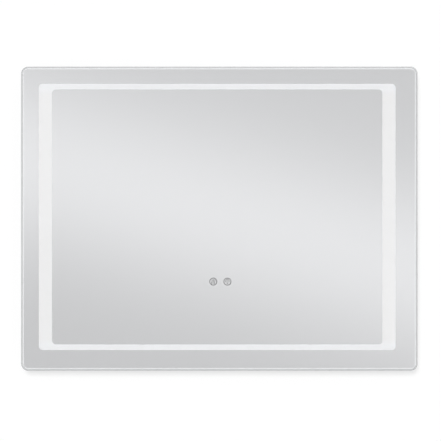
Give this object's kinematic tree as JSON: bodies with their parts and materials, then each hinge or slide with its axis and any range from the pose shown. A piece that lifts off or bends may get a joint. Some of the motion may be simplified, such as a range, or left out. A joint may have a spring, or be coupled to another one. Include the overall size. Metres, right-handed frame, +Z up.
{
  "type": "lighted bathroom mirror",
  "caption": "Wall-hung bathroom mirror with a frosted light band, touch icons and a bevelled glass edge on a slim aluminium chassis that lifts off its wall rail.",
  "frame": {"origin": "on the wall plane, midway between the two screw holes of the wall rail", "axes": "+X right and +Z up for someone facing the mirror, +Y into the wall; the glass faces -Y"},
  "size_m": [0.914, 0.0384, 0.701],
  "materials": {
    "clear_glass": "polished float glass, bevelled front edge",
    "silver": "silvered, neutral with a slight cool cast",
    "frosted_glass": "fine even sandblast, lit from behind",
    "icon_etch": "unlit etched stroke, dark grey",
    "safety_film": "grey backing paint under a thin film",
    "aluminium_profile": "extruded, satin anodised",
    "zinc_steel": "zinc plated",
    "coated_steel": "powder coated, light grey, fine texture",
    "tray_white": "gloss white, reflective",
    "foam_tape": "closed-cell foam",
    "opal_acrylic": "translucent white",
    "flex_circuit": "white solder mask",
    "led_lens": "phosphor coated",
    "circuit_board": "green solder mask",
    "copper_contact": "bare copper",
    "black_rubber": "moulded, matte",
    "white_plastic": "moulded, fine texture",
    "black_plastic": "moulded, fine texture",
    "heater_film": "amber film with an even meander",
    "lead_black": "PVC sheath",
    "lead_white": "PVC sheath",
    "ferrite": "dark sintered core",
    "capacitor_sleeve": "shrink sleeve"
  },
  "bodies": {
    "wall_bracket": {"wall_rail": "zinc_steel"},
    "mirror": {"glass_pane": "clear_glass", "silver_border": "silver", "silver_centre": "silver", "frosted_window": "frosted_glass", "demist_icon": "icon_etch", "light_icon": "icon_etch", "safety_film_border": "safety_film", "safety_film_centre": "safety_film", "bonding_tape": "foam_tape", "corner_brackets": "zinc_steel", "corner_screws": "zinc_steel", "led_chips": "led_lens", "strip_jumpers": "lead_white", "back_cover": "coated_steel", "cover_screws": "zinc_steel", "tray_screws": "zinc_steel", "hanger_rail": "zinc_steel", "backing_bar": "zinc_steel", "hanger_screws": "zinc_steel", "wall_bumpers": "black_rubber", "bumper_screws": "zinc_steel", "demister_pad": "heater_film", "demister_terminal": "white_plastic", "demister_lead": "lead_white", "sensor_housing": "black_plastic", "sensor_board": "circuit_board", "sensor_contacts": "copper_contact", "sensor_lead": "lead_white", "driver_base": "white_plastic", "driver_lid": "white_plastic", "driver_board": "circuit_board", "driver_transformer": "ferrite", "driver_capacitors": "capacitor_sleeve", "driver_screws": "zinc_steel", "junction_box": "white_plastic", "junction_lid": "coated_steel", "junction_lid_screws": "zinc_steel", "cable_grommet": "black_rubber", "terminal_block": "white_plastic", "terminal_screws": "zinc_steel", "mains_lead": "lead_black", "led_lead": "lead_white", "cable_saddles": "white_plastic", "chassis_left": "aluminium_profile", "light_tray_left": "tray_white", "diffuser_left": "opal_acrylic", "led_strip_left": "flex_circuit", "chassis_right": "aluminium_profile", "light_tray_right": "tray_white", "diffuser_right": "opal_acrylic", "led_strip_right": "flex_circuit", "chassis_top": "aluminium_profile", "light_tray_top": "tray_white", "diffuser_top": "opal_acrylic", "led_strip_top": "flex_circuit", "chassis_bottom": "aluminium_profile", "light_tray_bottom": "tray_white", "diffuser_bottom": "opal_acrylic", "led_strip_bottom": "flex_circuit"}
  },
  "joints": [
    {"name": "lift_off", "type": "slide", "parent": "wall_bracket", "child": "mirror", "axis": [0, 0, 1], "range_m": [0, 0.02]}
  ]
}
